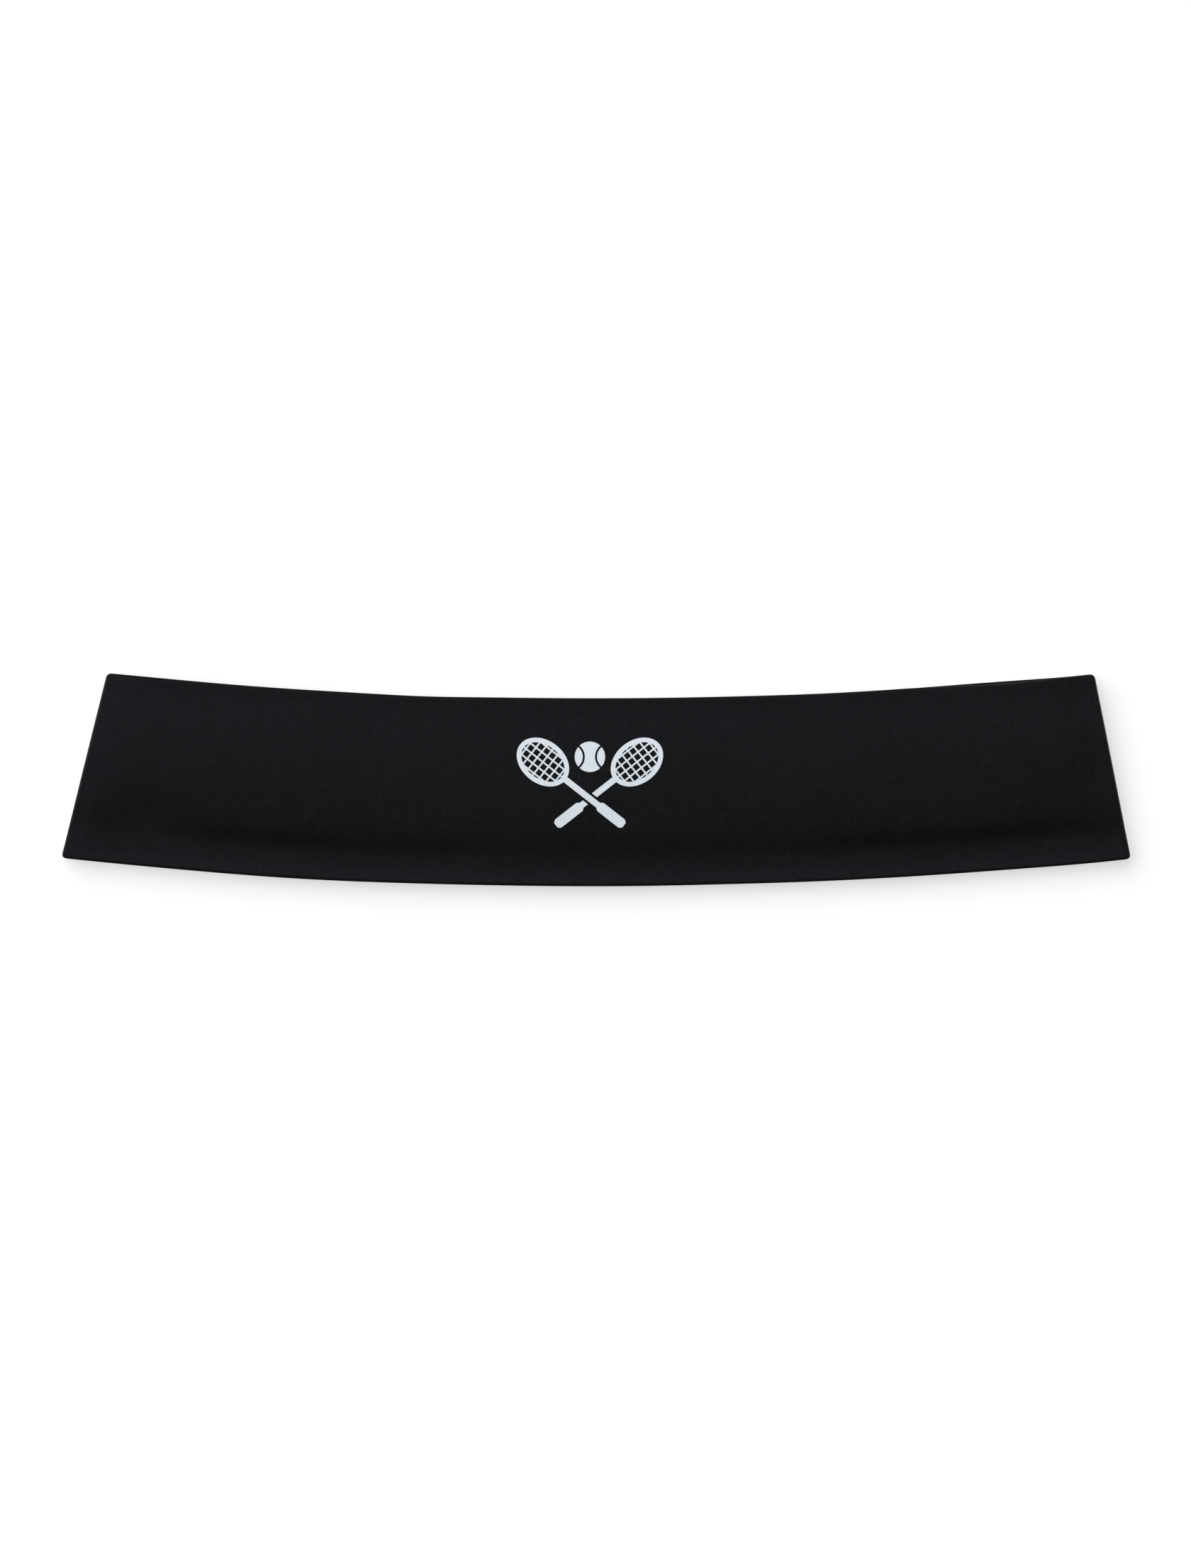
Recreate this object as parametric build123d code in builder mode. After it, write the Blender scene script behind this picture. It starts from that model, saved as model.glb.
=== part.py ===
from build123d import *
import math
import os

# A stretch-knit sports headband, pressed flat: a front and a back half, each a shell and a lining
# with their edges turned in, sewn into a loop at the two sides. Millimetres. +Z is up from the
# surface it lies on, +Y is towards the top edge, and the origin is under the middle of its box.

# Outline, seen from above
lower_width = 260.0        # between the lower corners
lower_sagitta = 6.9        # how far the lower edge bows below its corners
corner_rise = 44.7         # from the lower corners up to the top corners
band_height = 45.65        # across the band at its middle
left_lean = 14.0           # degrees that the left side leans in towards the top
right_lean = 11.3          # degrees that the right side leans in towards the top
corner_radius = 1.0

# Cloth and its turned edges
cloth = 0.5                # thickness of one layer of knit
fold_gap = 0.2             # left inside a turned edge, where the seam thread lies
seam_allowance = 9.0       # turned in along the top and lower edges
side_allowance = 7.0       # turned in at the sides
fold_radius = 0.5          # outside of a turned edge
seam_roll = 0.4            # how far the lining sits inside the shell's edge
side_clearance = 0.1       # between a shell's side wall and the lining's end
head_gap = 0.3             # between the two linings, where the head goes

# Seam threads
thread_diameter = 0.16
edge_thread_inset = 0.9    # from the lining's folded edge to the thread's middle
side_thread_inset = 0.9
thread_end_clearance = 2.0 # from a thread's end to the band's edge or side

# Printed emblem: two crossed rackets and a ball
film = 0.1                 # thickness of the print
emblem_middle = (-1.5, -4.6)
racket_lean = 38.0         # degrees that each racket rises above level
butt_to_crossing = 10.5
racket_length = 32.0
head_length = 14.0
head_width = 10.4
hoop_width = 1.15
string_width = 0.4
string_pitch = 1.75
long_strings = 5
cross_strings = 7
shaft_width = 1.5
grip_width = 2.5
grip_length = 8.0
grip_corner_radius = 1.0
crossing_gap = 0.6
ball_diameter = 7.4
ball_rise = 10.2           # from the crossing up to the ball's middle
ball_seam_width = 0.5
ball_seam_radius = 3.3
ball_seam_gap = 1.48       # from the ball's middle to the middle of each seam

# Worked out from these
box_depth = corner_rise + lower_sagitta
lower_corner_y = lower_sagitta - box_depth / 2
top_corner_y = box_depth / 2
half_lower = lower_width / 2
left_slope = math.tan(math.radians(left_lean))
right_slope = math.tan(math.radians(right_lean))
top_left_x = -half_lower + corner_rise * left_slope
top_right_x = half_lower - corner_rise * right_slope
half_top = (top_right_x - top_left_x) / 2
top_sagitta = corner_rise + lower_sagitta - band_height
lower_edge_radius = (half_lower ** 2 + lower_sagitta ** 2) / (2 * lower_sagitta)
top_edge_radius = (half_top ** 2 + top_sagitta ** 2) / (2 * top_sagitta)
lower_arc_y = lower_edge_radius - box_depth / 2
top_arc_y = band_height - box_depth / 2 + top_edge_radius

turned = 2 * cloth + fold_gap           # depth of a panel with its edge turned in
back_shell_base = 0.0
back_lining_base = turned
front_lining_base = 2 * turned + head_gap
front_shell_base = front_lining_base + turned
side_joint = 2 * turned + head_gap / 2  # level where the two halves meet at the sides
band_top = front_shell_base + turned
lining_side_inset = cloth + side_clearance


def band_face(level, edge_inset, side_inset, radius=corner_radius):
    """The flat outline at a level, drawn in from its long edges and from its sides."""
    reach = box_depth
    left = side_inset / math.cos(math.radians(left_lean)) - half_lower
    right = half_lower - side_inset / math.cos(math.radians(right_lean))
    low_y = lower_corner_y - reach
    high_y = lower_corner_y + 2 * reach
    with BuildSketch(Plane.XY.offset(level), mode=Mode.PRIVATE) as face:
        with Locations((0, lower_arc_y)):
            Circle(lower_edge_radius - edge_inset)
        with Locations((0, top_arc_y)):
            Circle(top_edge_radius + edge_inset, mode=Mode.SUBTRACT)
        with BuildLine():
            Polyline(
                (left - reach * left_slope, low_y),
                (right + reach * right_slope, low_y),
                (right - 2 * reach * right_slope, high_y),
                (left + 2 * reach * left_slope, high_y),
                close=True,
            )
        make_face(mode=Mode.INTERSECT)
        if radius:
            fillet(face.vertices(), radius)
    return face.sketch


def side_walls(level, side_inset):
    """Two upright strips, one cloth thick, along the two sides."""
    outer = band_face(level, cloth, side_inset, 0)
    with BuildSketch(Plane.XY.offset(level), mode=Mode.PRIVATE) as walls:
        add(outer)
        add(band_face(level, 0, side_inset + cloth, 0), mode=Mode.SUBTRACT)
    return walls.sketch


def turned_panel(base, face_up, edge_inset, side_inset):
    """A layer of knit with its edges turned in under it, or over it when it faces down."""
    face_level = base + cloth + fold_gap if face_up else base
    turned_level = base if face_up else base + cloth + fold_gap
    gap_level = base + cloth
    face_side = Axis.Z if face_up else -Axis.Z
    with BuildPart(mode=Mode.PRIVATE) as panel:
        extrude(band_face(base, edge_inset, side_inset), amount=turned)
        fillet(panel.faces().sort_by(face_side)[-1].edges(), fold_radius)
        fillet(panel.faces().sort_by(face_side)[0].edges(), fold_radius)
        inner_edge = edge_inset + cloth
        inner_side = side_inset + cloth
        extrude(band_face(gap_level, inner_edge, inner_side, 0), amount=fold_gap, mode=Mode.SUBTRACT)
        window = band_face(turned_level, edge_inset + seam_allowance, side_inset + side_allowance)
        extrude(window, amount=cloth, mode=Mode.SUBTRACT)
    return panel.part


def edge_run(level, edge_inset, top):
    """One run of seam thread along a long edge."""
    line = band_face(level, edge_inset, thread_end_clearance, 0)
    return line.edges().filter_by(GeomType.CIRCLE).sort_by(Axis.Y)[-1 if top else 0]


def side_run(level, side_inset, left):
    """One run of seam thread along a side."""
    line = band_face(level, thread_end_clearance, side_inset, 0)
    return line.edges().filter_by(GeomType.LINE).sort_by(Axis.X)[0 if left else -1]


def thread_along(path):
    """A round thread swept along one run."""
    with BuildSketch(Plane(path @ 0, z_dir=path % 0), mode=Mode.PRIVATE) as section:
        Circle(thread_diameter / 2)
    return section.sketch, path


os.makedirs("parts", exist_ok=True)

# Shells: the outer faces, with side walls that meet halfway up
with BuildPart() as back_shell:
    add(turned_panel(back_shell_base, False, 0, 0))
    wall_foot = back_shell_base + turned / 2
    extrude(side_walls(wall_foot, 0), amount=side_joint - wall_foot)

with BuildPart() as front_shell:
    add(turned_panel(front_shell_base, True, 0, 0))
    wall_head = front_shell_base + turned / 2
    extrude(side_walls(side_joint, 0), amount=wall_head - side_joint)

# Linings: the skin-side faces, a little smaller, so that the seams roll inwards
with BuildPart() as back_lining:
    add(turned_panel(back_lining_base, True, seam_roll, lining_side_inset))
    wall_foot = back_lining_base + turned / 2
    extrude(side_walls(wall_foot, lining_side_inset), amount=side_joint - wall_foot)

with BuildPart() as front_lining:
    add(turned_panel(front_lining_base, False, seam_roll, lining_side_inset))
    wall_head = front_lining_base + turned / 2
    extrude(side_walls(side_joint, lining_side_inset), amount=wall_head - side_joint)

panels = {
    "front_shell": front_shell,
    "front_lining": front_lining,
    "back_shell": back_shell,
    "back_lining": back_lining,
}

# Middle level of the gap in each panel's turned edge, where its thread runs
thread_level = {
    "front_shell": front_shell_base + turned / 2,
    "front_lining": front_lining_base + turned / 2,
    "back_shell": back_shell_base + turned / 2,
    "back_lining": back_lining_base + turned / 2,
}

# Edge seams: one run in the shell's fold and one in the lining's fold
threads = {}
for half in ("front", "back"):
    for edge in ("top", "lower"):
        with BuildPart() as edge_thread:
            for layer in ("shell", "lining"):
                inset = seam_roll + edge_thread_inset
                run = edge_run(thread_level[f"{half}_{layer}"], inset, edge == "top")
                section, path = thread_along(run)
                sweep(section, path=path)
        threads[f"{half}_{edge}_seam_thread"] = edge_thread

# Side seams: a run in each of the four folds
for side in ("left", "right"):
    with BuildPart() as side_thread:
        for layer, layer_inset in (("shell", 0), ("lining", lining_side_inset)):
            for half in ("front", "back"):
                inset = layer_inset + side_thread_inset
                run = side_run(thread_level[f"{half}_{layer}"], inset, side == "left")
                section, path = thread_along(run)
                sweep(section, path=path)
    threads[f"{side}_side_seam_thread"] = side_thread


def racket(lean, mirrored):
    """One racket in outline, its shaft through the crossing."""
    turn = 180 - lean if mirrored else lean
    head_x = racket_length - butt_to_crossing - head_length / 2
    throat_x = head_x - head_length / 2
    string_reach = head_length - hoop_width
    with BuildSketch(mode=Mode.PRIVATE) as flat:
        with Locations((head_x, 0)):
            with GridLocations(0, string_pitch, 1, long_strings):
                Rectangle(string_reach, string_width)
            with GridLocations(string_pitch, 0, cross_strings, 1):
                Rectangle(string_width, head_width - hoop_width)
            Ellipse(head_length / 2, head_width / 2, mode=Mode.INTERSECT)
        with BuildSketch(mode=Mode.PRIVATE) as hoop:
            with Locations((head_x, 0)):
                Ellipse(head_length / 2, head_width / 2)
                Ellipse(head_length / 2 - hoop_width, head_width / 2 - hoop_width, mode=Mode.SUBTRACT)
        add(hoop.sketch)
        with Locations(((throat_x + hoop_width / 2 - butt_to_crossing) / 2, 0)):
            Rectangle(throat_x + hoop_width / 2 + butt_to_crossing, shaft_width)
        with Locations((grip_length / 2 - butt_to_crossing, 0)):
            RectangleRounded(grip_length, grip_width, grip_corner_radius)
    return flat.sketch.rotate(Axis.Z, turn)


def print_outline():
    """The whole emblem: one racket passes over the other, with a ball between their heads."""
    with BuildSketch(mode=Mode.PRIVATE) as flat:
        add(racket(racket_lean, False))
        with Locations(Rotation(0, 0, 180 - racket_lean)):
            Rectangle(butt_to_crossing, shaft_width + 2 * crossing_gap, mode=Mode.SUBTRACT)
        add(racket(racket_lean, True))
        with BuildSketch(mode=Mode.PRIVATE) as ball:
            with Locations((0, ball_rise)):
                Circle(ball_diameter / 2)
            for side in (-1, 1):
                seam_x = side * (ball_seam_radius + ball_seam_gap)
                with Locations((seam_x, ball_rise)):
                    Circle(ball_seam_radius + ball_seam_width / 2, mode=Mode.SUBTRACT)
            for side in (-1, 1):
                seam_x = side * (ball_seam_radius + ball_seam_gap)
                with BuildSketch(mode=Mode.PRIVATE) as cheek:
                    with Locations((seam_x, ball_rise)):
                        Circle(ball_seam_radius - ball_seam_width / 2)
                    with Locations((0, ball_rise)):
                        Circle(ball_diameter / 2, mode=Mode.INTERSECT)
                add(cheek.sketch)
        add(ball.sketch)
    return flat.sketch.move(Location((*emblem_middle, band_top)))


with BuildPart() as emblem:
    extrude(print_outline(), amount=film)

for name, piece in {**panels, **threads, "emblem": emblem}.items():
    piece.part.label = name
    export_step(piece.part, f"parts/{name}.step")
    box = piece.part.bounding_box()
    print(name, len(piece.part.solids()), "solids", tuple(box.min), tuple(box.max))
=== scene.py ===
import math

import bmesh
import bpy
import numpy as np
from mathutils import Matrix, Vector


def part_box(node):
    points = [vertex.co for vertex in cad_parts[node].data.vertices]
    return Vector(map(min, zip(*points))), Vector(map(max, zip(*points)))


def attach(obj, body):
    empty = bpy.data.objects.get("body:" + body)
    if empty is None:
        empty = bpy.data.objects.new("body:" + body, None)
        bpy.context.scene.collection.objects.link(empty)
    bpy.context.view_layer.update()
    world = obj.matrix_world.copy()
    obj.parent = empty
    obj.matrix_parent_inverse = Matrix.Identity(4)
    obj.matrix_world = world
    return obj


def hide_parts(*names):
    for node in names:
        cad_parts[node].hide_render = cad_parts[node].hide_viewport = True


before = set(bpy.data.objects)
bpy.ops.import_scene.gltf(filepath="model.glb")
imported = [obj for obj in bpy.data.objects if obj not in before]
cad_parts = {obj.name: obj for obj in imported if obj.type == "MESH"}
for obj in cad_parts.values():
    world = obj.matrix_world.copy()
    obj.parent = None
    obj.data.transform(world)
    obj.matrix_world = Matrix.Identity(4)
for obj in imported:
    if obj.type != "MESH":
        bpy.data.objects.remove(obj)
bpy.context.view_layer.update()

# A knit sports headband, pressed flat. It has a front and a back half, each a shell and a lining
# with their edges turned in, and the two halves are sewn together at the sides. Every piece is
# drawn with two coordinates: a column, along the band, and a row, across it. Lengths are in metres.

MM = 0.001

# ---------------------------------------------------------------- levels and outline
shell_low, shell_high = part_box("front_shell")
lining_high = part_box("front_lining")[1]
emblem_low, emblem_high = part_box("emblem")
STANDS_PROUD = 0.14 * MM                 # how far the cloth passes the CAD's lower edge
SEAM_Z = shell_low[2]                    # where the halves meet at the sides
TOP_Z = shell_high[2]
HALF_DEPTH = TOP_Z - SEAM_Z              # one half's thickness at its edges
PLY_BREAK = lining_high[2] - SEAM_Z      # between shell and lining, above the seam level
LOW_Y = shell_low[1] - STANDS_PROUD

HALF_LOWER = 130.25 * MM                 # half the width between the lower corners
LOWER_SAGITTA = 6.9 * MM
CORNER_RISE = 44.84 * MM
BAND_HEIGHT = 45.79 * MM
LEFT_LEAN = math.radians(14.0)
RIGHT_LEAN = math.radians(11.3)
CORNER_RADIUS = 1.1 * MM

CLOTH = 0.48 * MM                        # thickness of one layer of knit
SEAM_ALLOWANCE = 8.5 * MM
LIP = 0.62 * MM                          # how far in a turned edge stays round
LIP_ARC = 0.78 * MM                      # mean radius of the cloth round that edge
SIDE_ROUND = 0.85 * MM                   # how far in the band's ends stay round
SIDE_WALL = 0.62                         # share of the height that stands upright at the ends
LINING_INSET = 0.45 * MM                 # the lining's edge sits this far inside the shell's
LINING_SIDE_INSET = 1.1 * MM
HEAD_GAP = 0.15 * MM                     # from the seam level to each lining
PLY_CLEARANCE = 0.03 * MM                # from the ply break to the lining
SEAM_PINCH = 0.16 * MM                   # how far the side seam draws the shell in
SEAM_PINCH_SHARE = 0.18                  # share of the height over which it does
CORNER_REACH = 1.5 * MM                  # how far in from a side the turned edge is tucked in
TUCK = 1.1 * CLOTH
CORNER_ALLOWANCE = 1.0 * MM              # the turned edge is this deep at the sides
ALLOWANCE_WIDENS = 5.0 * MM              # and reaches its full depth over this distance
FOLD_FROM, FOLD_OVER = 1.35, 0.5         # radians round a lip where the cloth counts as folded over
DULL_AND_SHADED_BY = 0.55                           # radians round a lip where the cloth has turned fully rough and fully dark with painted shade
THINNING = 1.5 * MM                      # how far in from a lip the cloth regains its thickness
ROOM_SHARE = 0.42                        # share of the room in a closing fold that the cloth may take
THINNEST = 0.04 * MM

# ---------------------------------------------------------------- relief of the pressed cloth
# How far the front face tilts at places across the band, from the lower edge up: distance in mm,
# tilt in degrees, positive where the cloth rises away from the lower edge. The lower edge is lifted
# by its turned allowance, a shallow trough follows, then the cloth rises steeply past a long crease
# to a soft crown, and falls a little towards the top edge.
CROSS_TILT = [
    (0.0, -8.0), (0.8, -8.2), (1.6, -8.4), (3.0, -2.8), (4.6, 1.8), (6.2, 4.0), (7.6, 6.4), (9.2, 7.8),
    (11.0, 7.0), (14.0, 6.4), (18.0, 4.8), (23.0, 2.9), (28.0, 1.3), (33.0, -0.8), (38.0, -2.8),
    (41.0, -2.0), (43.0, 0.0), (44.5, 0.8), (46.0, -1.0),
]
CROSS_STEPS = 400
LOWER_EDGE_HEIGHT = 2.68 * MM            # height of the front's lower edge above the seam level
END_CURL = 0.26 * MM                     # the left end falls and the right end lifts by this much
END_CURL_REACH = 5.5 * MM
END_FLATTENING = 0.4                     # near the side seams the crown is lower by this share
END_FLATTENS = 13.0 * MM                 # and starts to fall at this distance from them

# Where the crease is deeper or shallower: middle and half-length along the band, and rise, in mm
CREASES = [
    (-112.0, 10.0, -0.15), (-80.0, 20.0, 0.20), (-38.0, 11.0, 0.12), (62.0, 9.0, 0.14), (94.0, 22.0, 0.28),
]
CREASE_FROM, CREASE_TO = 6.4 * MM, 12.0 * MM
CREASE_CLIMB = (-104.0, 16.0, 0.9)       # the crease climbs at the left end, by the same three measures
CLIMB_AT, CLIMB_REACH = 10.0 * MM, 8.0 * MM

# Soft swells and dents left from handling: x, y, half-length, half-height and height, in mm
SWELLS = [
    (-92.0, 6.0, 26.0, 11.0, 0.20), (-58.0, -4.0, 16.0, 9.0, 0.12), (-112.0, -12.0, 9.0, 10.0, -0.16),
    (-28.0, 4.0, 14.0, 12.0, -0.10), (22.0, 12.0, 20.0, 7.0, 0.12), (52.0, -3.0, 9.0, 8.0, 0.14),
    (78.0, 2.0, 15.0, 10.0, -0.14), (108.0, 9.0, 13.0, 8.0, 0.16), (118.0, -4.0, 6.0, 8.0, -0.10),
    (0.0, -9.0, 40.0, 6.0, -0.06),
]

# Where across the band a face is free to swell, in mm: where it starts, how soon it is fully free,
# where it stops, and over how long
FRONT_FREE = (4.0, 10.0, 43.5, 6.0)
BACK_FREE = (5.0, 8.0, 42.0, 8.0)

# Gentle waves in the cloth: height, wavelength and seed
BROAD_WAVES = (0.05 * MM, 24 * MM, 1)
FINE_WAVES = (0.012 * MM, 7 * MM, 4)
BACK_WAVES = (0.10 * MM, 34 * MM, 3)
WAVE_COUNT = 5

# Where the front's top edge dips and the back half shows past it: first, deepest and last x
DIP_FROM, DIP_DEEPEST, DIP_TO = 74.0 * MM, 100.0 * MM, 119.0 * MM
DIP_DEPTH = 0.58 * MM

# Where the cloth is drawn tight, which also sets where painted shade darkens the knit: along the crease, and
# by this share along the top edge
DRAWN_AT, DRAWN_REACH = 9.5 * MM, 4.2 * MM
DRAWN_TOP, DRAWN_TOP_REACH = 0.8, 5 * MM


def smooth_step(value):
    """0 below 0, 1 above 1, and level at both ends."""
    value = np.clip(value, 0.0, 1.0)
    return value * value * (3.0 - 2.0 * value)


def bell(distance, reach):
    """1 at the middle, falling softly to nothing past the reach."""
    return np.exp(-(distance / reach) ** 2)


def soft_curve(points, at):
    """A smooth curve through a few points, by cubic Hermite spans."""
    xs = np.array([p[0] for p in points])
    ys = np.array([p[1] for p in points])
    slopes = np.gradient(ys, xs)
    at = np.clip(at, xs[0], xs[-1])
    span = np.clip(np.searchsorted(xs, at) - 1, 0, len(xs) - 2)
    width = xs[span + 1] - xs[span]
    t = (at - xs[span]) / width
    start = (1 + 2 * t) * (1 - t) ** 2 * ys[span] + t * (1 - t) ** 2 * width * slopes[span]
    end = t * t * (3 - 2 * t) * ys[span + 1] + t * t * (t - 1) * width * slopes[span + 1]
    return start + end


def cross_rise(from_lower):
    """Height gained across the band by following its tilt from the lower edge up."""
    steps = np.linspace(0, BAND_HEIGHT, CROSS_STEPS)
    tilt = np.tan(np.radians(soft_curve(CROSS_TILT, steps / MM)))
    rise = np.concatenate([[0.0], np.cumsum((tilt[1:] + tilt[:-1]) / 2 * np.diff(steps))])
    return np.interp(from_lower, steps, rise)


def sine_field(x, y, wavelength, seed):
    """A gentle, repeatable unevenness, from -1 to 1, made of a few crossing waves that never line up."""
    total = np.zeros_like(x)
    for k in range(WAVE_COUNT):
        angle = seed * 1.7 + k * 2.399
        length = wavelength * (0.7 + 0.23 * k)
        phase = seed * 3.1 + k * 1.3
        along = x * math.cos(angle) + y * math.sin(angle)
        total += np.sin(2 * math.pi * along / length + phase)
    return total / WAVE_COUNT


# ---------------------------------------------------------------- plan of the band
WALL_STEPS = 5                           # columns up the upright part of each end
ROUND_STEPS = 12                         # and round its top
LOWER_CORNER_Y = LOW_Y + LOWER_SAGITTA
TOP_CORNER_Y = LOWER_CORNER_Y + CORNER_RISE
TOP_SAGITTA = TOP_CORNER_Y - (LOW_Y + BAND_HEIGHT)
LEFT_TOP_X = -HALF_LOWER + CORNER_RISE * math.tan(LEFT_LEAN)
RIGHT_TOP_X = HALF_LOWER - CORNER_RISE * math.tan(RIGHT_LEAN)
MEAN_WIDTH = (2 * HALF_LOWER + RIGHT_TOP_X - LEFT_TOP_X) / 2


def arc_y(x, half_chord, sagitta, lowest_y):
    """Height of an edge that bows down by its sagitta between its two corners."""
    radius = (half_chord ** 2 + sagitta ** 2) / (2 * sagitta)
    return lowest_y + radius - np.sqrt(radius ** 2 - x ** 2)


# Unevenness of the two long edges: middle, half-length and rise, in mm
LOWER_WANDER = [(-72.0, 27.0, -0.28), (32.0, 18.0, 0.09), (122.0, 17.0, -0.26)]
TOP_WANDER = [
    (-114.0, 26.0, 0.30), (-42.0, 14.0, -0.24), (55.0, 16.0, -0.10), (91.0, 13.0, 0.13), (118.0, 11.0, -0.18),
]


def wander(x, places):
    """How far an edge strays from its arc."""
    return sum(rise * bell(x / MM - middle, reach) for middle, reach, rise in places) * MM


def plan(fraction):
    """The lower and the top edge at each column, as two arrays of points."""
    lower_x = -HALF_LOWER + 2 * HALF_LOWER * fraction
    top_x = LEFT_TOP_X + (RIGHT_TOP_X - LEFT_TOP_X) * fraction
    lower_y = arc_y(lower_x, HALF_LOWER, LOWER_SAGITTA, LOW_Y) + wander(lower_x, LOWER_WANDER)
    half_top = (RIGHT_TOP_X - LEFT_TOP_X) / 2
    top_y = arc_y(top_x, half_top, TOP_SAGITTA, LOW_Y + BAND_HEIGHT) + wander(top_x, TOP_WANDER)
    return np.stack([lower_x, lower_y], 1), np.stack([top_x, top_y], 1)


def lining_columns(count):
    """A lining's columns, which stay flat up to its ends, as the same three arrays as shell_columns()."""
    along = np.linspace(LINING_SIDE_INSET, MEAN_WIDTH - LINING_SIDE_INSET, count)
    return np.minimum(along, MEAN_WIDTH - along), along / MEAN_WIDTH, np.ones(count)


def shell_columns(count):
    """Each column's distance from the nearer side, fraction along the band, and share of full height."""
    angle = np.linspace(0, math.pi / 2, ROUND_STEPS + 1)[1:]
    round_in = SIDE_ROUND * (1 - np.cos(angle))
    round_up = SIDE_WALL + (1 - SIDE_WALL) * np.sin(angle)
    wall_up = np.linspace(0, SIDE_WALL, WALL_STEPS + 1)
    end = np.concatenate([np.zeros(len(wall_up)), round_in])
    end_share = np.concatenate([wall_up, round_up])
    start = end[-1]
    middle = np.linspace(start, MEAN_WIDTH - start, count)[1:-1]
    along = np.concatenate([end, middle, MEAN_WIDTH - end[::-1]])
    share = np.concatenate([end_share, np.ones(len(middle)), end_share[::-1]])
    return np.minimum(along, MEAN_WIDTH - along), along / MEAN_WIDTH, share


def corner_cut(distance):
    """How far the long edges draw in near a corner, which rounds it."""
    left = np.clip(CORNER_RADIUS - distance, 0, CORNER_RADIUS)
    return CORNER_RADIUS - np.sqrt(CORNER_RADIUS ** 2 - left ** 2)


def side_gaps(x, y):
    """Distances along the band to its left and right sides."""
    above = y - LOWER_CORNER_Y
    return x + HALF_LOWER - above * math.tan(LEFT_LEAN), HALF_LOWER - above * math.tan(RIGHT_LEAN) - x


def free_share(from_lower, zone):
    """1 over the middle of a face, falling to 0 near its long edges."""
    start, start_over, stop, stop_over = zone
    rise = smooth_step((from_lower / MM - start) / start_over)
    return rise * smooth_step((stop - from_lower / MM) / stop_over)


def front_relief(x, y, from_lower):
    """Height of the front face above the seam level."""
    climb_at, climb_reach, climb = CREASE_CLIMB
    climb_here = climb * MM * bell(x / MM - climb_at, climb_reach)
    from_lower = from_lower - climb_here * bell(from_lower - CLIMB_AT, CLIMB_REACH)
    height = LOWER_EDGE_HEIGHT + cross_rise(from_lower)
    crease = sum(rise * bell(x / MM - middle, half) for middle, half, rise in CREASES) * MM
    height += crease * smooth_step((from_lower - CREASE_FROM) / (CREASE_TO - CREASE_FROM))
    left_gap, right_gap = side_gaps(x, y)
    near_end = smooth_step(1 - np.minimum(left_gap, right_gap) / END_FLATTENS)
    height -= END_FLATTENING * (height - LOWER_EDGE_HEIGHT) * near_end
    right_curl, left_curl = (smooth_step(1 - gap / END_CURL_REACH) for gap in (right_gap, left_gap))
    height += END_CURL * (right_curl - left_curl)
    free = free_share(from_lower, FRONT_FREE)
    for swell_x, swell_y, reach_x, reach_y, rise in SWELLS:
        bump = bell(x / MM - swell_x, reach_x) * bell(y / MM - swell_y, reach_y)
        height += rise * MM * bump * free
    broad, broad_length, broad_seed = BROAD_WAVES
    height += broad * sine_field(x, y, broad_length, broad_seed) * free
    fine, fine_length, fine_seed = FINE_WAVES
    height += fine * sine_field(x, y, fine_length, fine_seed)
    return height


def back_relief(x, y, from_lower):
    """Depth of the back face below the seam level: flat on the floor, with shallow hollows."""
    depth, length, seed = BACK_WAVES
    hollow = depth * (1 + sine_field(x, y, length, seed))
    hollow *= free_share(from_lower, BACK_FREE)
    return HALF_DEPTH - hollow


# ---------------------------------------------------------------- one turned-edge panel
def cross_rows(face_rows, lip_rows, turned_rows):
    """Rows across a panel as (zone, share): turned, lip, face, lip, turned."""
    rows = [("turned_low", k / turned_rows) for k in range(turned_rows)]
    rows += [("lip_low", k / lip_rows) for k in range(lip_rows)]
    rows += [("face", k / face_rows) for k in range(face_rows + 1)]
    rows += [("lip_top", k / lip_rows) for k in range(1, lip_rows + 1)]
    rows += [("turned_top", k / turned_rows) for k in range(1, turned_rows + 1)]
    return rows


CROWDING = 0.11


def edge_crowd(share):
    """Crowds rows towards both ends of a face, where the cloth bends most."""
    return share - CROWDING * np.sin(2 * math.pi * share)


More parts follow.
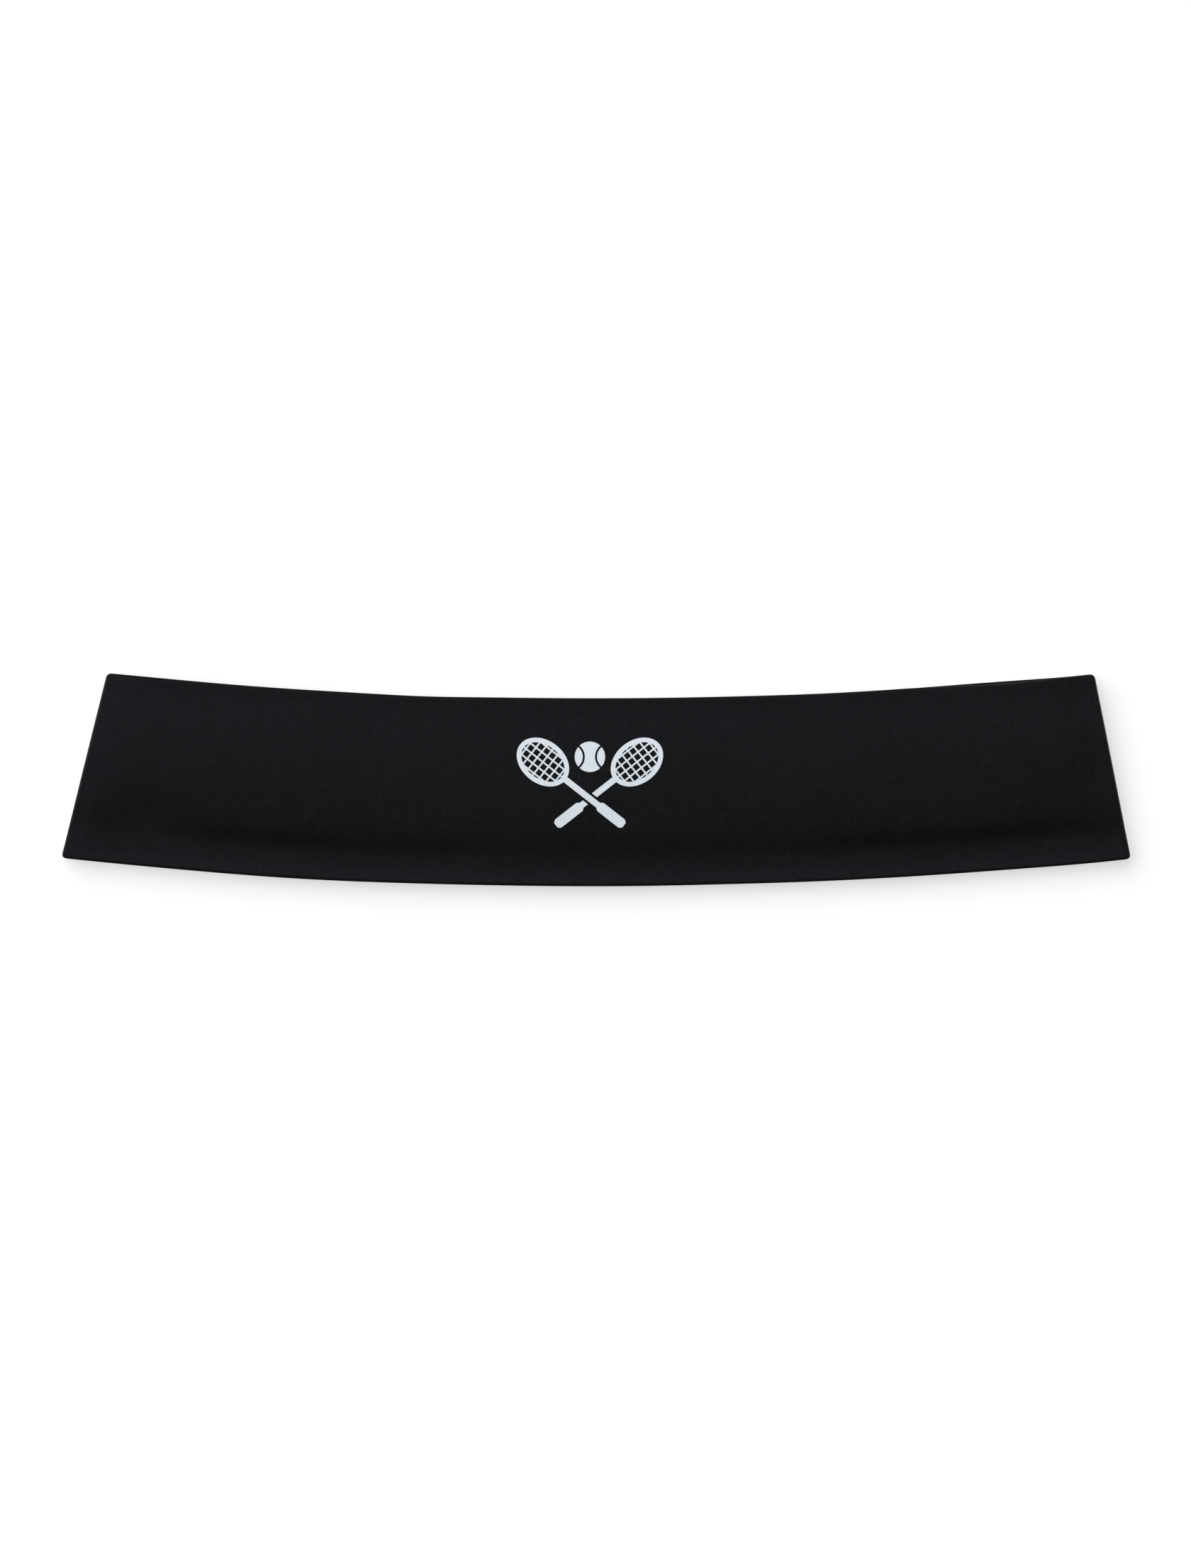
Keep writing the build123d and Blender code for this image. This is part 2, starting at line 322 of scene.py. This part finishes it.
def panel_surface(front, shell, counts):
    """The outer surface of one panel's cloth, as a grid of columns and rows of points.

    With it come, for each point, its place on the flat cloth, the cloth's thickness, how rough the
    cloth has turned round a lip and how dark with painted shade, and how tightly it is drawn.
    """
    column_count, face_rows, lip_rows, turned_rows = counts
    distance, fraction, rounding = (shell_columns if shell else lining_columns)(column_count)
    lower, top = plan(fraction)
    way = (top - lower) / np.linalg.norm(top - lower, axis=1)[:, None]
    cut = corner_cut(distance) + (0.0 if shell else LINING_INSET)
    lower = lower + way * cut[:, None]
    top_cut = cut + edge_dip(top[:, 0]) if front else cut
    top = top - way * top_cut[:, None]
    across = np.linalg.norm(top - lower, axis=1)
    seam_pinch = SEAM_PINCH * (1 - smooth_step(rounding / SEAM_PINCH_SHARE)) if shell else 0 * rounding
    inward = np.where(fraction < 0.5, 1.0, -1.0)
    tuck = TUCK * (1 - smooth_step(distance / CORNER_REACH))

    widening = smooth_step((distance - CORNER_REACH) / ALLOWANCE_WIDENS)
    allowance = CORNER_ALLOWANCE + (SEAM_ALLOWANCE - CORNER_ALLOWANCE) * widening
    rows = cross_rows(face_rows, lip_rows, turned_rows)
    points = np.zeros((len(distance), len(rows), 3))
    cloth = np.zeros_like(points)
    lip_share, past_fold, dull_and_shaded, drawn = np.zeros((4, len(distance), len(rows)))
    inner = PLY_BREAK * rounding
    if not shell:
        inner = inner - PLY_CLEARANCE
    for j, (zone, share) in enumerate(rows):
        along_edge = zone.endswith("top")
        if zone.startswith("turned"):
            shown = share if along_edge else 1 - share
            step = LIP + (allowance - LIP) * shown
            level = inner
            lip_share[:, j] = 1.0
            past_fold[:, j] = 1.0
            dull_and_shaded[:, j] = 1.0
            travelled = LIP_ARC * math.pi + step - LIP
        elif zone.startswith("lip"):
            angle = math.pi * (share if along_edge else 1 - share)
            step = LIP * (1 - math.sin(angle)) * np.ones_like(across)
            lip_share[:, j] = 1.0
            past_fold[:, j] = smooth_step((angle - FOLD_FROM) / FOLD_OVER)
            dull_and_shaded[:, j] = smooth_step(angle / DULL_AND_SHADED_BY)
            travelled = LIP_ARC * angle
        else:
            step = LIP + (across - 2 * LIP) * edge_crowd(share)
        from_lower = across - step if along_edge else step
        spot = lower + way * from_lower[:, None]
        edge_from = across - LIP if along_edge else LIP * np.ones_like(across)
        edge_spot = lower + way * edge_from[:, None]
        cloth[:, j, 0] = spot[:, 0] - inward * (1 - rounding) * HALF_DEPTH
        if zone == "face":
            level = face_level(front, shell, spot, from_lower, across) * rounding
            near_edge = np.minimum(from_lower, across - from_lower)
            lip_share[:, j] = 1 - smooth_step((near_edge - LIP) / THINNING)
            cloth[:, j, 1] = spot[:, 1]
        else:
            cloth[:, j, 1] = edge_spot[:, 1] + (travelled if along_edge else -travelled)
        if zone.startswith("lip"):
            outer = face_level(front, shell, edge_spot, edge_from, across) * rounding
            level = (outer + inner) / 2 + (outer - inner) / 2 * math.cos(angle)
        points[:, j, 0] = spot[:, 0] + inward * (seam_pinch + tuck * past_fold[:, j])
        points[:, j, 1] = spot[:, 1]
        points[:, j, 2] = SEAM_Z + (level if front else -level)
        drawn[:, j] = drawn_tight(from_lower, across)
    thickness = cloth_thickness(lip_share, inner)
    return points, cloth, thickness, dull_and_shaded, drawn


def drawn_tight(from_lower, across):
    """How tightly the cloth is drawn, from 0 to 1, which makes its wales show as ribs and darkens its colour
    as painted shade.
    """
    crease = bell(from_lower - DRAWN_AT, DRAWN_REACH)
    edge = DRAWN_TOP * smooth_step(1 - (across - from_lower) / DRAWN_TOP_REACH)
    return np.clip(crease + edge, 0, 1)


def edge_dip(x):
    """How far the front's top edge dips, where the back half shows past it."""
    rise = smooth_step((x - DIP_FROM) / (DIP_DEEPEST - DIP_FROM))
    fall = smooth_step((DIP_TO - x) / (DIP_TO - DIP_DEEPEST))
    return DIP_DEPTH * rise * fall


def face_level(front, shell, spot, from_lower, across):
    """Distance of a panel's face from the seam level."""
    if not shell:
        return HEAD_GAP * np.ones_like(from_lower)
    relief = front_relief if front else back_relief
    return relief(spot[:, 0], spot[:, 1], from_lower * BAND_HEIGHT / across)


def cloth_thickness(lip_share, inner):
    """Full thickness on the face, and thinner where a turned edge closes up near a side."""
    room = np.maximum(ROOM_SHARE * np.abs(inner)[:, None], THINNEST)
    return CLOTH + (np.minimum(CLOTH, room) - CLOTH) * lip_share


SMALLEST_LENGTH = 1e-12                  # keeps a normal from being divided by nothing


def grid_normals(points):
    """Unit normals of a grid of points."""
    along = np.gradient(points, axis=0)
    across = np.gradient(points, axis=1)
    normal = np.cross(along, across)
    return normal / np.maximum(np.linalg.norm(normal, axis=2), SMALLEST_LENGTH)[:, :, None]


def thick_sheet(name, points, cloth, thickness, dull_and_shaded, drawn, sign):
    """A closed mesh: the outer surface, an inner one a cloth's thickness behind it, and the cut edges.

    The sign is 1 where the outer surface faces up and -1 where it faces down.
    """
    normal = grid_normals(points) * sign
    inner = points - normal * thickness[:, :, None]
    nu, nv = points.shape[:2]
    vertices = np.concatenate([points.reshape(-1, 3), inner.reshape(-1, 3)])
    index = np.arange(nu * nv).reshape(nu, nv)
    behind = index + nu * nv
    faces = []
    for first, flip in ((index, sign < 0), (behind, sign > 0)):
        quads = np.stack([first[:-1, :-1], first[1:, :-1], first[1:, 1:], first[:-1, 1:]], 2).reshape(-1, 4)
        faces.append(quads[:, ::-1] if flip else quads)
    border = np.concatenate([index[:, 0], index[-1, 1:], index[-2::-1, -1], index[0, -2:0:-1]])
    border_behind = border + nu * nv
    after, after_behind = np.roll(border, -1), np.roll(border_behind, -1)
    rim = np.stack([border, border_behind, after_behind, after], 1)
    faces.append(rim if sign > 0 else rim[:, ::-1])
    mesh = bpy.data.meshes.new(name)
    mesh.from_pydata(vertices.tolist(), [], np.concatenate(faces).tolist())
    both = np.concatenate([cloth.reshape(-1, 3), cloth.reshape(-1, 3)])
    # turned carries the lips' roughness and painted shade, drawn the ribs and painted shade
    for label, values in (("turned", dull_and_shaded), ("drawn", drawn)):
        share = mesh.attributes.new(label, "FLOAT", "POINT")
        share.data.foreach_set("value", np.tile(values.ravel(), 2).astype(np.float32))
    attribute = mesh.attributes.new("cloth", "FLOAT_VECTOR", "POINT")
    attribute.data.foreach_set("vector", both.astype(np.float32).ravel())
    mesh.polygons.foreach_set("use_smooth", [True] * len(mesh.polygons))
    mesh.update()
    piece = bpy.data.objects.new(name, mesh)
    bpy.context.scene.collection.objects.link(piece)
    return piece


# ---------------------------------------------------------------- materials
class Nodes:
    """A short way to write a material's node tree."""

    def __init__(self, name):
        self.material = bpy.data.materials.new(name)
        self.material.use_nodes = True
        self.tree = self.material.node_tree
        self.shader = self.tree.nodes["Principled BSDF"]

    def add(self, kind, **settings):
        node = self.tree.nodes.new(kind)
        for key, value in settings.items():
            setattr(node, key, value)
        return node

    def link(self, value, socket):
        if isinstance(value, (int, float)):
            socket.default_value = value
        else:
            self.tree.links.new(value, socket)

    def math(self, operation, a, b=0.0, c=0.0):
        node = self.add("ShaderNodeMath", operation=operation)
        for value, socket in zip((a, b, c), node.inputs):
            self.link(value, socket)
        return node.outputs[0]

    def noise(self, vector, scale, detail=2.0):
        node = self.add("ShaderNodeTexNoise")
        node.inputs["Scale"].default_value = scale
        node.inputs["Detail"].default_value = detail
        self.link(vector, node.inputs["Vector"])
        return node.outputs["Fac"]

    def bump(self, height, strength, distance):
        node = self.add("ShaderNodeBump")
        node.inputs["Strength"].default_value = strength
        node.inputs["Distance"].default_value = distance
        self.link(height, node.inputs["Height"])
        self.link(node.outputs["Normal"], self.shader.inputs["Normal"])

    def mix_colour(self, share, first, second):
        node = self.add("ShaderNodeMix", data_type="RGBA")
        self.link(share, node.inputs[0])
        for value, socket in ((first, node.inputs[6]), (second, node.inputs[7])):
            if isinstance(value, tuple):
                socket.default_value = (*value, 1.0)
            else:
                self.link(value, socket)
        return node.outputs[2]


WALE_PITCH = 0.425 * MM
COURSE_PITCH = 0.364 * MM
WALE_LEAN = math.radians(2.5)
DRIFT, DRIFT_SCALE, DRIFT_DETAIL = 2.4 * MM, 45.0, 1.0   # how the wales stray sideways
LEG_SLOPE = 1.1                          # courses that a leg climbs per wale
MERGING, DRAWN_MERGING = 0.12, 0.55      # how far legs merge into ribs, and how much more when drawn
LEG_UNEVENNESS = 1.1                     # how much the stitch legs differ in height
DRAWN_EVENING = 0.6                      # share of that which is lost when drawn


def knit_height(nodes, vector, drawn=0.0):
    """Interlock knit: V-shaped stitches in upright wales, no two legs quite alike.

    Gives the height, and a random number for each stitch leg.
    """
    drift = nodes.noise(vector, DRIFT_SCALE, DRIFT_DETAIL)
    split = nodes.add("ShaderNodeSeparateXYZ")
    nodes.link(vector, split.inputs[0])
    x, y = split.outputs[0], split.outputs[1]
    lean = nodes.math("MULTIPLY_ADD", y, math.tan(WALE_LEAN), x)
    bend = nodes.math("MULTIPLY_ADD", drift, DRIFT, lean)
    wale = nodes.math("DIVIDE", bend, WALE_PITCH)
    number = nodes.math("FLOOR", wale)
    offset = nodes.math("SUBTRACT", nodes.math("SUBTRACT", wale, number), 0.5)
    half_course = nodes.math("MULTIPLY", nodes.math("MODULO", number, 2.0), 0.5)
    leg = nodes.math("MULTIPLY_ADD", nodes.math("ABSOLUTE", offset), LEG_SLOPE, half_course)
    course = nodes.math("ADD", nodes.math("DIVIDE", y, COURSE_PITCH), leg)
    stitch = nodes.math("ABSOLUTE", nodes.math("SINE", nodes.math("MULTIPLY", course, math.pi)))
    ridge = nodes.math("COSINE", nodes.math("MULTIPLY", offset, math.pi))
    merged = nodes.math("MULTIPLY_ADD", drawn, DRAWN_MERGING, MERGING)
    body = nodes.math("MULTIPLY_ADD", stitch, nodes.math("SUBTRACT", 1.0, merged), merged)
    cell = nodes.add("ShaderNodeCombineXYZ")
    for value, socket in zip((number, nodes.math("FLOOR", course), nodes.math("SIGN", offset)), cell.inputs):
        nodes.link(value, socket)
    own = nodes.add("ShaderNodeTexWhiteNoise")
    nodes.link(cell.outputs[0], own.inputs["Vector"])
    number_of_leg = own.outputs["Value"]
    uneven = nodes.math("MULTIPLY_ADD", drawn, -DRAWN_EVENING * LEG_UNEVENNESS, LEG_UNEVENNESS)
    lift = nodes.math("MULTIPLY_ADD", nodes.math("SUBTRACT", number_of_leg, 0.5), uneven, 1.0)
    return nodes.math("MULTIPLY", nodes.math("MULTIPLY", ridge, body), lift), number_of_leg


# Textures of the knit: each noise's scale and detail
PATCH_SCALE, PATCH_DETAIL = 260.0, 3.0   # dye and wear
GRAIN_SCALE, GRAIN_DETAIL = 5200.0, 2.0  # single filaments

# Share of the bright colour, which paints glints on the stitch legs and filaments and a highlight on raised
# stitches: each part's weight
STITCH_HIGHLIGHT_WEIGHT, PATCH_WEIGHT, PATCH_OFFSET = 0.5, 0.4, -0.1
LEG_GLINT_WEIGHT, GRAIN_GLINT_WEIGHT = 0.7, 0.8
# painted shade: how much darker the knit is where drawn tight
DRAWN_PAINTED_SHADE = 0.5

ROUGHNESS, GRAIN_ROUGHNESS, TURNED_ROUGHNESS = 0.32, 0.12, 0.35
FUZZ, DRAWN_FUZZ = 2.2, 1.4              # the filaments' height in the bump, and its loss when drawn


def knit_material(name, base, painted_highlight_colour):
    """Black fine-gauge stretch knit: uneven yarn, a soft cool sheen, and a rougher turned edge. Glints and
    lit stitch tops are painted into its colour, and painted shade darkens the crease, the top edge and the
    turned edge.
    """
    nodes = Nodes(name)
    place = nodes.add("ShaderNodeAttribute", attribute_name="cloth").outputs["Vector"]
    turned = nodes.add("ShaderNodeAttribute", attribute_name="turned").outputs["Fac"]
    drawn = nodes.add("ShaderNodeAttribute", attribute_name="drawn").outputs["Fac"]
    height, leg = knit_height(nodes, place, drawn)
    patches = nodes.noise(place, PATCH_SCALE, PATCH_DETAIL)
    grain = nodes.noise(place, GRAIN_SCALE, GRAIN_DETAIL)
    patched = nodes.math("MULTIPLY_ADD", patches, PATCH_WEIGHT, PATCH_OFFSET)
    # painted highlight: the raised parts of each stitch are lighter, mixed with dye and wear patches of
    # random tone
    stitch_highlight_and_dye = nodes.math("MULTIPLY_ADD", height, STITCH_HIGHLIGHT_WEIGHT, patched)
    # painted glints: lighter at random by stitch leg and by filament
    painted_glint = nodes.math("MULTIPLY_ADD", leg, LEG_GLINT_WEIGHT, nodes.math("MULTIPLY", grain, GRAIN_GLINT_WEIGHT))
    # painted shade: darker where the cloth is drawn tight, along the crease and the top edge
    painted_drawn_shade = nodes.math("MULTIPLY_ADD", drawn, -DRAWN_PAINTED_SHADE, 1.0)
    share = nodes.math("MULTIPLY", nodes.math("MULTIPLY", painted_glint, painted_glint), nodes.math("MULTIPLY", stitch_highlight_and_dye, painted_drawn_shade))
    colour = nodes.mix_colour(share, base, painted_highlight_colour)
    # painted shade: round each lip and on the turned edge the knit takes its darkest colour
    colour = nodes.mix_colour(turned, colour, base)
    nodes.link(colour, nodes.shader.inputs["Base Color"])
    rough = nodes.math("MULTIPLY_ADD", grain, GRAIN_ROUGHNESS, ROUGHNESS)
    rough = nodes.math("MULTIPLY_ADD", turned, TURNED_ROUGHNESS, rough)
    nodes.link(rough, nodes.shader.inputs["Roughness"])
    nodes.shader.inputs["Specular IOR Level"].default_value = 0.106
    nodes.shader.inputs["Specular Tint"].default_value = (0.825, 0.869, 1.0, 1.0)
    nodes.shader.inputs["Sheen Weight"].default_value = 0.015
    nodes.shader.inputs["Sheen Roughness"].default_value = 0.35
    nodes.shader.inputs["Sheen Tint"].default_value = (0.85, 0.92, 1.0, 1.0)
    fuzz = nodes.math("MULTIPLY_ADD", grain, nodes.math("MULTIPLY_ADD", drawn, -DRAWN_FUZZ, FUZZ), height)
    nodes.bump(fuzz, 0.72, 0.065 * MM)
    return nodes.material


def thread_material():
    """Black textured nylon thread, twisted."""
    nodes = Nodes("seam_thread")
    place = nodes.add("ShaderNodeTexCoord").outputs["Object"]
    twist = nodes.add("ShaderNodeTexWave", bands_direction="DIAGONAL")
    twist.inputs["Scale"].default_value = 2600.0
    nodes.link(place, twist.inputs["Vector"])
    colour = nodes.mix_colour(twist.outputs["Fac"], (0.004, 0.004, 0.005), (0.012, 0.012, 0.013))
    nodes.link(colour, nodes.shader.inputs["Base Color"])
    nodes.link(nodes.math("MULTIPLY_ADD", twist.outputs["Fac"], 0.15, 0.45), nodes.shader.inputs["Roughness"])
    nodes.shader.inputs["Specular IOR Level"].default_value = 0.3
    return nodes.material


def film_material():
    """Pale heat-transfer film, with the knit under it showing faintly through its surface."""
    nodes = Nodes("print_film")
    place = nodes.add("ShaderNodeTexCoord").outputs["Object"]
    height = knit_height(nodes, place)[0]
    patches = nodes.noise(place, 700.0, PATCH_DETAIL)
    colour = nodes.mix_colour(patches, (0.60, 0.655, 0.705), (0.66, 0.72, 0.775))
    nodes.link(colour, nodes.shader.inputs["Base Color"])
    nodes.link(nodes.math("MULTIPLY_ADD", patches, 0.15, 0.5), nodes.shader.inputs["Roughness"])
    nodes.bump(height, 0.25, 0.02 * MM)
    return nodes.material


# each knit's second colour is painted highlight, for its glints and lit stitch tops
SHELL_KNIT = knit_material("shell_knit", (0.0003, 0.00033, 0.0004), (0.0105, 0.0111, 0.0125))
LINING_KNIT = knit_material("lining_knit", (0.0030, 0.0032, 0.0036), (0.0120, 0.0126, 0.0140))
SEAM_THREAD = thread_material()
PRINT_FILM = film_material()


def finish_piece(piece, node, material):
    """The piece stands for a CAD node and takes its material slot."""
    piece.data.materials.append(material)
    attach(piece, "root")
    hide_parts(node)


# ---------------------------------------------------------------- panels
# Columns between the ends, then rows on the face, round each lip and on each turned edge
SHELL_COUNTS = (380, 78, 8, 5)
LINING_COUNTS = (160, 36, 6, 4)


def make_panel(half, layer):
    """One of the four knit panels."""
    front = half == "front"
    shell = layer == "shell"
    counts = SHELL_COUNTS if shell else LINING_COUNTS
    points, cloth, thickness, dull_and_shaded, drawn = panel_surface(front, shell, counts)
    sign = 1.0 if front == shell else -1.0
    piece = thick_sheet(f"{half}_{layer}_cloth", points, cloth, thickness, dull_and_shaded, drawn, sign)
    finish_piece(piece, f"{half}_{layer}", SHELL_KNIT if shell else LINING_KNIT)


make_panel("back", "shell")
make_panel("back", "lining")
make_panel("front", "lining")
make_panel("front", "shell")


# ---------------------------------------------------------------- seam threads
THREAD = 0.11 * MM                       # radius of the seam thread
STITCH = 2.6 * MM                        # length of one stitch
STEPS_PER_STITCH = 8
THREAD_WAVE = 0.07 * MM                  # how far the thread rises and sinks along a stitch
THREAD_DEPTH = LINING_INSET + 0.18 * MM  # from a shell's edge in to the thread
EDGE_THREAD_ENDS = 4.0 * MM              # from the ends of an edge seam to those of its thread
SIDE_THREAD_ENDS = 1.6 * MM


def stitch_wave(along):
    """How the thread rises and sinks with each stitch."""
    return THREAD_WAVE * np.sin(2 * math.pi * along / STITCH)


def tube(path, radius, sides=6):
    """Vertices and faces of a round thread along a path of points."""
    path = np.asarray(path)
    way = np.gradient(path, axis=0)
    way /= np.linalg.norm(way, axis=1)[:, None]
    up = np.tile([0.0, 0.0, 1.0], (len(path), 1))
    side = np.cross(way, up)
    side /= np.linalg.norm(side, axis=1)[:, None]
    up = np.cross(side, way)
    angle = np.linspace(0, 2 * math.pi, sides, endpoint=False)
    ring = np.cos(angle)[None, :, None] * side[:, None, :] + np.sin(angle)[None, :, None] * up[:, None, :]
    vertices = (path[:, None, :] + radius * ring).reshape(-1, 3)
    faces = []
    for k in range(len(path) - 1):
        for s in range(sides):
            after = (s + 1) % sides
            faces.append((k * sides + s, k * sides + after, (k + 1) * sides + after, (k + 1) * sides + s))
    faces.append(tuple(range(sides - 1, -1, -1)))
    faces.append(tuple((len(path) - 1) * sides + s for s in range(sides)))
    return vertices.tolist(), faces


def thread_piece(name, node, runs):
    """A seam's thread, made of one or more runs."""
    vertices, faces = [], []
    for run in runs:
        run_vertices, run_faces = tube(run, THREAD)
        faces += [tuple(v + len(vertices) for v in face) for face in run_faces]
        vertices += run_vertices
    mesh = bpy.data.meshes.new(name)
    mesh.from_pydata(vertices, [], faces)
    mesh.polygons.foreach_set("use_smooth", [True] * len(mesh.polygons))
    mesh.update()
    piece = bpy.data.objects.new(name, mesh)
    bpy.context.scene.collection.objects.link(piece)
    finish_piece(piece, node, SEAM_THREAD)


def edge_thread_run(front, top_edge):
    """The thread in the groove between a shell's edge and its lining's, rising and sinking."""
    along = np.arange(EDGE_THREAD_ENDS, MEAN_WIDTH - EDGE_THREAD_ENDS, STITCH / STEPS_PER_STITCH)
    lower, top = plan(along / MEAN_WIDTH)
    way = (top - lower) / np.linalg.norm(top - lower, axis=1)[:, None]
    dip = edge_dip(top[:, 0]) if front and top_edge else np.zeros(len(along))
    depth = (THREAD_DEPTH + dip)[:, None]
    spot = top - way * depth if top_edge else lower + way * depth
    level = PLY_BREAK + stitch_wave(along)
    return np.column_stack([spot, SEAM_Z + (level if front else -level)])


def side_thread_run(left):
    """The thread in the groove of a side seam."""
    lower, top = plan(np.array([0.0 if left else 1.0]))
    length = float(np.linalg.norm(top - lower))
    along = np.arange(SIDE_THREAD_ENDS, length - SIDE_THREAD_ENDS, STITCH / STEPS_PER_STITCH)
    spot = lower + (top - lower) * (along / length)[:, None]
    inward = SEAM_PINCH if left else -SEAM_PINCH
    return np.column_stack([spot[:, 0] + inward, spot[:, 1], SEAM_Z + stitch_wave(along)])


for half in ("front", "back"):
    for edge in ("top", "lower"):
        node = f"{half}_{edge}_seam_thread"
        thread_piece(f"{node}_stitches", node, [edge_thread_run(half == "front", edge == "top")])
for side in ("left", "right"):
    node = f"{side}_side_seam_thread"
    thread_piece(f"{node}_stitches", node, [side_thread_run(side == "left")])


# ---------------------------------------------------------------- emblem
FILM_STEP = 1.0 * MM                     # the film is cut this finely, so that it can follow the cloth
FILM_MIDDLE = (emblem_high[2] - emblem_low[2]) / 2
FILM_RISE = 0.09 * MM                    # the film's top stands above the cloth by this much
FILM_SINK = 0.05 * MM                    # and its underside lies this far inside


def distance_from_lower(x, y):
    """Distance above the lower edge, close enough for the middle of the band."""
    return y - arc_y(x, HALF_LOWER, LOWER_SAGITTA, LOW_Y)


def make_emblem():
    """The printed film, laid over the crowned front."""
    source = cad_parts["emblem"].data
    film = bmesh.new()
    film.from_mesh(source)
    for axis, low, high in ((0, emblem_low[0], emblem_high[0]), (1, emblem_low[1], emblem_high[1])):
        normal = Vector((1, 0, 0)) if axis == 0 else Vector((0, 1, 0))
        for k in range(1, int((high - low) / FILM_STEP) + 1):
            place = normal * (low + k * FILM_STEP)
            everything = film.verts[:] + film.edges[:] + film.faces[:]
            bmesh.ops.bisect_plane(film, geom=everything, plane_co=place, plane_no=normal)
    x = np.array([v.co.x for v in film.verts])
    y = np.array([v.co.y for v in film.verts])
    level = SEAM_Z + front_relief(x, y, distance_from_lower(x, y))
    for vertex, height in zip(film.verts, level):
        on_top = vertex.co.z - emblem_low[2] > FILM_MIDDLE
        vertex.co.z = height + (FILM_RISE if on_top else -FILM_SINK)
    mesh = bpy.data.meshes.new("emblem_print")
    film.to_mesh(mesh)
    film.free()
    piece = bpy.data.objects.new("emblem_print", mesh)
    bpy.context.scene.collection.objects.link(piece)
    finish_piece(piece, "emblem", PRINT_FILM)


make_emblem()


# ---------------------------------------------------------------- floor, light and camera
FLOOR_HALF = 9.0
KEY_STRENGTH = 3.7
KEY_SPREAD = math.radians(76)
KEY_BEARING = math.radians(135)          # from +X towards +Y, which is the upper left
KEY_ELEVATION = math.radians(51)
KEY_DISTANCE = 2.0
FILL_STRENGTH = 0.143

VIEW_HEIGHT = 381.5 * MM                 # how much of the floor's depth the picture takes in
CAMERA_X, CAMERA_Y = -0.14 * MM, -1.01 * MM
LENS = 180.0
SENSOR = 36.0
FURTHEST = 20.0                          # the camera sees nothing past this distance


def make_floor():
    """A plain pale light table, lit evenly from below as well as from above."""
    mesh = bpy.data.meshes.new("floor")
    corners = [(x * FLOOR_HALF, y * FLOOR_HALF, 0) for x, y in ((-1, -1), (1, -1), (1, 1), (-1, 1))]
    mesh.from_pydata(corners, [], [(0, 1, 2, 3)])
    floor = bpy.data.objects.new("floor", mesh)
    bpy.context.scene.collection.objects.link(floor)
    nodes = Nodes("floor")
    nodes.shader.inputs["Base Color"].default_value = (0.42, 0.42, 0.42, 1.0)
    nodes.shader.inputs["Emission Color"].default_value = (1.0, 1.0, 1.0, 1.0)
    nodes.shader.inputs["Emission Strength"].default_value = 0.58
    nodes.shader.inputs["Roughness"].default_value = 1.0
    nodes.shader.inputs["Specular IOR Level"].default_value = 0.0
    floor.data.materials.append(nodes.material)


def make_light():
    """A broad, soft key light from the upper left and a faint, even fill all round."""
    lamp = bpy.data.lights.new("key", "SUN")
    lamp.energy = KEY_STRENGTH
    lamp.angle = KEY_SPREAD
    level = math.cos(KEY_ELEVATION)
    towards = (level * math.cos(KEY_BEARING), level * math.sin(KEY_BEARING), math.sin(KEY_ELEVATION))
    stand = Vector(towards)
    key = bpy.data.objects.new("key", lamp)
    key.location = stand * KEY_DISTANCE
    key.rotation_euler = stand.to_track_quat("Z", "Y").to_euler()
    bpy.context.scene.collection.objects.link(key)
    world = bpy.data.worlds.new("studio")
    world.use_nodes = True
    sky = world.node_tree.nodes["Background"]
    sky.inputs["Color"].default_value = (1, 1, 1, 1)
    sky.inputs["Strength"].default_value = FILL_STRENGTH
    bpy.context.scene.world = world


def make_camera():
    """Straight above the band, with the band's top edge towards the top of the picture."""
    lens = bpy.data.cameras.new("camera")
    lens.sensor_fit = "VERTICAL"
    lens.sensor_height = SENSOR
    lens.lens = LENS
    lens.clip_end = FURTHEST
    camera = bpy.data.objects.new("camera", lens)
    camera.location = (CAMERA_X, CAMERA_Y, TOP_Z + VIEW_HEIGHT * LENS / SENSOR)
    bpy.context.scene.collection.objects.link(camera)
    bpy.context.scene.camera = camera


make_floor()
make_light()
make_camera()
bpy.context.scene.view_settings.view_transform = "Standard"
